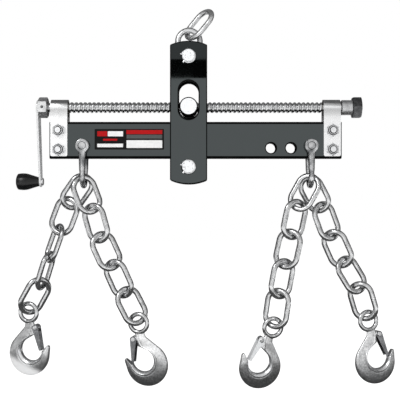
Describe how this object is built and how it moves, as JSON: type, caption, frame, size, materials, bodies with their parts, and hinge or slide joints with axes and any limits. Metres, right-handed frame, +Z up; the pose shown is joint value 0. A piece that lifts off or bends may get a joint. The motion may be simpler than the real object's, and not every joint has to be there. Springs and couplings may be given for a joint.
{
  "type": "engine load leveler",
  "caption": "Engine load leveler: a beam moved under a slotted lifting carriage by a crank screw, with shackles and chains ending in latch hooks.",
  "frame": {"origin": "centre of the upper lifting link's opening, where the crane hook takes the load", "axes": "+X along the beam away from the crank, +Z up, the front faces -Y"},
  "size_m": [0.6508, 0.0732, 0.6312],
  "materials": {
    "black_paint": "gloss",
    "bright_zinc": "satin",
    "galvanised_steel": "satin",
    "black_oxide": "satin",
    "bronze": "satin",
    "black_plastic": "gloss"
  },
  "bodies": {
    "upper_lifting_link": {"upper_lifting_link": "galvanised_steel"},
    "lower_lifting_link": {"lower_lifting_link": "galvanised_steel"},
    "carriage": {"front_carriage_plate": "black_paint", "rear_carriage_plate": "black_paint", "top_pin": "bright_zinc", "lower_pin": "bright_zinc", "retaining_clips": "bright_zinc"},
    "lower_roller": {"lower_roller": "bright_zinc"},
    "trunnion_nut": {"trunnion_nut": "bright_zinc"},
    "beam": {"main_beam": "black_paint", "left_end_bracket": "bright_zinc", "right_end_bracket": "bright_zinc", "bracket_bolts": "bright_zinc", "bracket_nuts": "bright_zinc", "screw_bushes": "bronze"},
    "screw": {"lead_screw": "bright_zinc", "crank_hub": "bright_zinc", "end_hex": "black_oxide", "thrust_collar": "bright_zinc", "roll_pins": "bright_zinc", "crank_arm": "bright_zinc", "knob_bolt": "bright_zinc"},
    "knob": {"knob": "black_plastic"},
    "left_shackle": {"left_shackle": "galvanised_steel", "left_shackle_pin": "galvanised_steel"},
    "right_shackle": {"right_shackle": "galvanised_steel", "right_shackle_pin": "galvanised_steel"},
    "left_outer_link_1": {"left_outer_link_1": "galvanised_steel"},
    "left_outer_link_2": {"left_outer_link_2": "galvanised_steel"},
    "left_outer_link_3": {"left_outer_link_3": "galvanised_steel"},
    "left_outer_link_4": {"left_outer_link_4": "galvanised_steel"},
    "left_outer_link_5": {"left_outer_link_5": "galvanised_steel"},
    "left_outer_hook": {"left_outer_hook": "galvanised_steel", "left_outer_latch_rivet": "galvanised_steel"},
    "left_outer_latch": {"left_outer_latch": "galvanised_steel"},
    "left_inner_link_1": {"left_inner_link_1": "galvanised_steel"},
    "left_inner_link_2": {"left_inner_link_2": "galvanised_steel"},
    "left_inner_link_3": {"left_inner_link_3": "galvanised_steel"},
    "left_inner_link_4": {"left_inner_link_4": "galvanised_steel"},
    "left_inner_link_5": {"left_inner_link_5": "galvanised_steel"},
    "left_inner_hook": {"left_inner_hook": "galvanised_steel", "left_inner_latch_rivet": "galvanised_steel"},
    "left_inner_latch": {"left_inner_latch": "galvanised_steel"},
    "right_inner_link_1": {"right_inner_link_1": "galvanised_steel"},
    "right_inner_link_2": {"right_inner_link_2": "galvanised_steel"},
    "right_inner_link_3": {"right_inner_link_3": "galvanised_steel"},
    "right_inner_link_4": {"right_inner_link_4": "galvanised_steel"},
    "right_inner_link_5": {"right_inner_link_5": "galvanised_steel"},
    "right_inner_hook": {"right_inner_hook": "galvanised_steel", "right_inner_latch_rivet": "galvanised_steel"},
    "right_inner_latch": {"right_inner_latch": "galvanised_steel"},
    "right_outer_link_1": {"right_outer_link_1": "galvanised_steel"},
    "right_outer_link_2": {"right_outer_link_2": "galvanised_steel"},
    "right_outer_link_3": {"right_outer_link_3": "galvanised_steel"},
    "right_outer_link_4": {"right_outer_link_4": "galvanised_steel"},
    "right_outer_link_5": {"right_outer_link_5": "galvanised_steel"},
    "right_outer_hook": {"right_outer_hook": "galvanised_steel", "right_outer_latch_rivet": "galvanised_steel"},
    "right_outer_latch": {"right_outer_latch": "galvanised_steel"}
  },
  "joints": [
    {"name": "lifting_link_swing", "type": "hinge", "parent": "upper_lifting_link", "child": "lower_lifting_link", "pos_m": [-0.01702, 0, -0.02102], "axis": [0, 1, 0], "range_deg": [-6, 10]},
    {"name": "carriage_swing", "type": "hinge", "parent": "lower_lifting_link", "child": "carriage", "pos_m": [-0.01743, 0, -0.05592], "axis": [0, -1, 0], "range_deg": [-12, 7]},
    {"name": "beam_tilt", "type": "hinge", "parent": "carriage", "child": "lower_roller", "pos_m": [-0.01743, 0, -0.23692], "axis": [0, 1, 0], "range_deg": [-18, 18]},
    {"name": "trunnion_shift", "type": "slide", "parent": "lower_roller", "child": "trunnion_nut", "axis": [1, 0, 0], "range_m": [-0.0322, 0.0322]},
    {"name": "carriage_travel", "type": "slide", "parent": "trunnion_nut", "child": "beam", "axis": [1, 0, 0], "range_m": [-0.1115, 0.0819]},
    {"name": "screw_turn", "type": "hinge", "parent": "beam", "child": "screw", "pos_m": [-0.24728, 0, -0.13782], "axis": [1, 0, 0], "range_deg": [-5400, 3960]},
    {"name": "knob_spin", "type": "hinge", "parent": "screw", "child": "knob", "pos_m": [-0.26928, 0.02162, -0.26043], "axis": [1, 0, 0], "continuous": true},
    {"name": "left_shackle_swing", "type": "hinge", "parent": "beam", "child": "left_shackle", "pos_m": [-0.19218, 0, -0.20197], "axis": [0, 1, 0], "range_deg": [-10, 10]},
    {"name": "right_shackle_swing", "type": "hinge", "parent": "beam", "child": "right_shackle", "pos_m": [0.18442, 0, -0.20197], "axis": [0, 1, 0], "range_deg": [-10, 10]},
    {"name": "left_outer_link_1_swing", "type": "hinge", "parent": "left_shackle", "child": "left_outer_link_1", "pos_m": [-0.19218, 0.01509, -0.25789], "axis": [0, 1, 0], "range_deg": [-1, 12]},
    {"name": "left_outer_link_2_swing", "type": "hinge", "parent": "left_outer_link_1", "child": "left_outer_link_2", "pos_m": [-0.2212, 0.00833, -0.30179], "axis": [0.7094, 0.5, -0.4967], "range_deg": [-5, 4]},
    {"name": "left_outer_link_3_swing", "type": "hinge", "parent": "left_outer_link_2", "child": "left_outer_link_3", "pos_m": [-0.23594, 0.00833, -0.34586], "axis": [-0.9048, 0.2588, 0.3383], "range_deg": [-5, 7]},
    {"name": "left_outer_link_4_swing", "type": "hinge", "parent": "left_outer_link_3", "child": "left_outer_link_4", "pos_m": [-0.25205, 0.00833, -0.39165], "axis": [0.4713, -0.866, -0.1669], "range_deg": [-5, 4]},
    {"name": "left_outer_link_5_swing", "type": "hinge", "parent": "left_outer_link_4", "child": "left_outer_link_5", "pos_m": [-0.26595, 0.00833, -0.43793], "axis": [-0.2314, -0.9703, 0.0707], "range_deg": [-12, 3]},
    {"name": "left_outer_hook_swing", "type": "hinge", "parent": "left_outer_link_5", "child": "left_outer_hook", "pos_m": [-0.28956, 0.00833, -0.47769], "axis": [0.7251, 0.5592, -0.4019], "range_deg": [-20, 7]},
    {"name": "left_outer_latch_open", "type": "hinge", "parent": "left_outer_hook", "child": "left_outer_latch", "pos_m": [-0.2719, 0.00525, -0.50386], "axis": [0.2578, 0.9659, 0.0226], "range_deg": [0, 22], "stiffness_Nm_per_rad": 0.1, "springref_deg": -17.19},
    {"name": "left_inner_link_1_swing", "type": "hinge", "parent": "left_shackle", "child": "left_inner_link_1", "pos_m": [-0.19218, -0.01509, -0.25789], "axis": [0, -1, 0], "range_deg": [-1, 12]},
    {"name": "left_inner_link_2_swing", "type": "hinge", "parent": "left_inner_link_1", "child": "left_inner_link_2", "pos_m": [-0.17546, -0.00719, -0.31041], "axis": [0.8402, 0.4384, 0.3192], "range_deg": [-11, 5]},
    {"name": "left_inner_link_3_swing", "type": "hinge", "parent": "left_inner_link_2", "child": "left_inner_link_3", "pos_m": [-0.16266, -0.00719, -0.35827], "axis": [-0.8586, 0.454, -0.2381], "range_deg": [-20, 11]},
    {"name": "left_inner_link_4_swing", "type": "hinge", "parent": "left_inner_link_3", "child": "left_inner_link_4", "pos_m": [-0.14151, -0.00719, -0.40278], "axis": [0.8108, 0.454, 0.3695], "range_deg": [-16, 20]},
    {"name": "left_inner_link_5_swing", "type": "hinge", "parent": "left_inner_link_4", "child": "left_inner_link_5", "pos_m": [-0.12115, -0.00719, -0.4486], "axis": [-0.814, 0.454, -0.3624], "range_deg": [-20, 14]},
    {"name": "left_inner_hook_swing", "type": "hinge", "parent": "left_inner_link_5", "child": "left_inner_hook", "pos_m": [-0.09828, -0.00719, -0.49293], "axis": [0.7939, 0.454, 0.4045], "range_deg": [-5, 20]},
    {"name": "left_inner_latch_open", "type": "hinge", "parent": "left_inner_hook", "child": "left_inner_latch", "pos_m": [-0.10797, -0.00391, -0.52173], "axis": [-0.273, -0.9613, -0.0384], "range_deg": [0, 22], "stiffness_Nm_per_rad": 0.1, "springref_deg": -17.19},
    {"name": "right_inner_link_1_swing", "type": "hinge", "parent": "right_shackle", "child": "right_inner_link_1", "pos_m": [0.18442, -0.01509, -0.25789], "axis": [0, 1, 0], "range_deg": [-1, 12]},
    {"name": "right_inner_link_2_swing", "type": "hinge", "parent": "right_inner_link_1", "child": "right_inner_link_2", "pos_m": [0.15963, -0.00776, -0.30484], "axis": [0.7793, -0.454, -0.432], "range_deg": [-9, 5]},
    {"name": "right_inner_link_3_swing", "type": "hinge", "parent": "right_inner_link_2", "child": "right_inner_link_3", "pos_m": [0.15115, -0.00776, -0.35254], "axis": [-0.8715, -0.454, 0.1853], "range_deg": [-20, 16]},
    {"name": "right_inner_link_4_swing", "type": "hinge", "parent": "right_inner_link_3", "child": "right_inner_link_4", "pos_m": [0.14026, -0.00776, -0.40149], "axis": [0.8699, -0.454, -0.1928], "range_deg": [-15, 20]},
    {"name": "right_inner_link_5_swing", "type": "hinge", "parent": "right_inner_link_4", "child": "right_inner_link_5", "pos_m": [0.13131, -0.00776, -0.45068], "axis": [-0.8761, -0.454, 0.1624], "range_deg": [-15, 20]},
    {"name": "right_inner_hook_swing", "type": "hinge", "parent": "right_inner_link_5", "child": "right_inner_hook", "pos_m": [0.12408, -0.00776, -0.50015], "axis": [0.8812, -0.454, -0.1317], "range_deg": [-20, 4]},
    {"name": "right_inner_latch_open", "type": "hinge", "parent": "right_inner_hook", "child": "right_inner_latch", "pos_m": [0.10165, -0.01104, -0.5213], "axis": [0.2556, -0.9613, -0.1033], "range_deg": [0, 22], "stiffness_Nm_per_rad": 0.1, "springref_deg": -17.19},
    {"name": "right_outer_link_1_swing", "type": "hinge", "parent": "right_shackle", "child": "right_outer_link_1", "pos_m": [0.18442, 0.01509, -0.25789], "axis": [0, -1, 0], "range_deg": [-1, 12]},
    {"name": "right_outer_link_2_swing", "type": "hinge", "parent": "right_outer_link_1", "child": "right_outer_link_2", "pos_m": [0.20658, 0.00742, -0.30795], "axis": [0.7889, -0.454, 0.4142], "range_deg": [-5, 11]},
    {"name": "right_outer_link_3_swing", "type": "hinge", "parent": "right_outer_link_2", "child": "right_outer_link_3", "pos_m": [0.22286, 0.00742, -0.35461], "axis": [-0.8373, -0.454, -0.3047], "range_deg": [-13, 20]},
    {"name": "right_outer_link_4_swing", "type": "hinge", "parent": "right_outer_link_3", "child": "right_outer_link_4", "pos_m": [0.24341, 0.00742, -0.39996], "axis": [0.814, -0.454, 0.3624], "range_deg": [-12, 20]},
    {"name": "right_outer_link_5_swing", "type": "hinge", "parent": "right_outer_link_4", "child": "right_outer_link_5", "pos_m": [0.26941, 0.00742, -0.44206], "axis": [-0.7637, -0.454, -0.4589], "range_deg": [-20, 10]},
    {"name": "right_outer_hook_swing", "type": "hinge", "parent": "right_outer_link_5", "child": "right_outer_hook", "pos_m": [0.28195, 0.00742, -0.48914], "axis": [0.8543, -0.454, 0.2531], "range_deg": [-13, 4]},
    {"name": "right_outer_latch_open", "type": "hinge", "parent": "right_outer_hook", "child": "right_outer_latch", "pos_m": [0.29943, 0.0107, -0.51543], "axis": [-0.2686, 0.9613, -0.062], "range_deg": [0, 22], "stiffness_Nm_per_rad": 0.1, "springref_deg": -17.19}
  ],
  "couplings": [
    {"joint": "trunnion_shift", "follows": "beam_tilt", "m_per_rad": -0.10078},
    {"joint": "carriage_travel", "follows": "screw_turn", "m_per_rad": 0.0011777}
  ]
}
